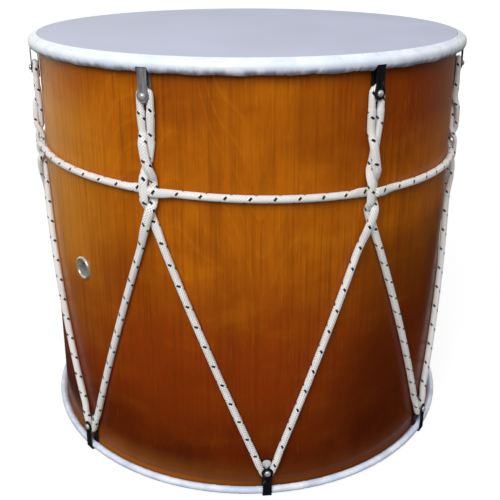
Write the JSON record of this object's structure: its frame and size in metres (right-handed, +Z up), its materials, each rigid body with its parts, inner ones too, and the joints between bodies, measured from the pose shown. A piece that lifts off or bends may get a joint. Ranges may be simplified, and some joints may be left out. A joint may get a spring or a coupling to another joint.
{
  "type": "caucasian drum",
  "caption": "Two-headed cylindrical hand drum: lacquered bent-wood shell with film heads, laced by one zigzag rope through riveted strap hooks, with a woven belly cord and a vent eyelet.",
  "frame": {"origin": "On the drum's axis, on the plane that the drum stands on (the undersides of the bottom hooks).", "axes": "+Z runs up the drum's axis to the playing head. The vent eyelet faces -Y."},
  "size_m": [0.3655, 0.3699, 0.336],
  "materials": {
    "lacquered_wood": "amber-brown gloss lacquer",
    "head_film": "smooth, slightly matt film",
    "collar_film": "white film, pleated edge",
    "hoop_steel": "plain drawn steel",
    "black_steel": "black, half-gloss",
    "bright_steel": "bright, domed head",
    "rope": "white braid with black tracer",
    "nickel": "nickel plate"
  },
  "bodies": {
    "drum": {"shell": "lacquered_wood", "top_head": "head_film", "bottom_head": "head_film", "top_collar": "collar_film", "bottom_collar": "collar_film", "top_hoop": "hoop_steel", "bottom_hoop": "hoop_steel", "top_hook_1": "black_steel", "top_rivet_1": "bright_steel", "top_hook_2": "black_steel", "top_rivet_2": "bright_steel", "top_hook_3": "black_steel", "top_rivet_3": "bright_steel", "top_hook_4": "black_steel", "top_rivet_4": "bright_steel", "top_hook_5": "black_steel", "top_rivet_5": "bright_steel", "top_hook_6": "black_steel", "top_rivet_6": "bright_steel", "top_hook_7": "black_steel", "top_rivet_7": "bright_steel", "bottom_hook_1": "black_steel", "bottom_rivet_1": "bright_steel", "bottom_hook_2": "black_steel", "bottom_rivet_2": "bright_steel", "bottom_hook_3": "black_steel", "bottom_rivet_3": "bright_steel", "bottom_hook_4": "black_steel", "bottom_rivet_4": "bright_steel", "bottom_hook_5": "black_steel", "bottom_rivet_5": "bright_steel", "bottom_hook_6": "black_steel", "bottom_rivet_6": "bright_steel", "bottom_hook_7": "black_steel", "bottom_rivet_7": "bright_steel", "lacing_rope": "rope", "lacing_knot": "rope", "vent_grommet": "nickel", "vent_washer": "nickel"},
    "belly_cord": {"belly_cord": "rope", "belly_cord_knot": "rope"}
  },
  "joints": [
    {"name": "belly_cord_slide", "type": "slide", "parent": "drum", "child": "belly_cord", "axis": [0, 0, 1], "range_m": [-0.004, 0.004]}
  ]
}
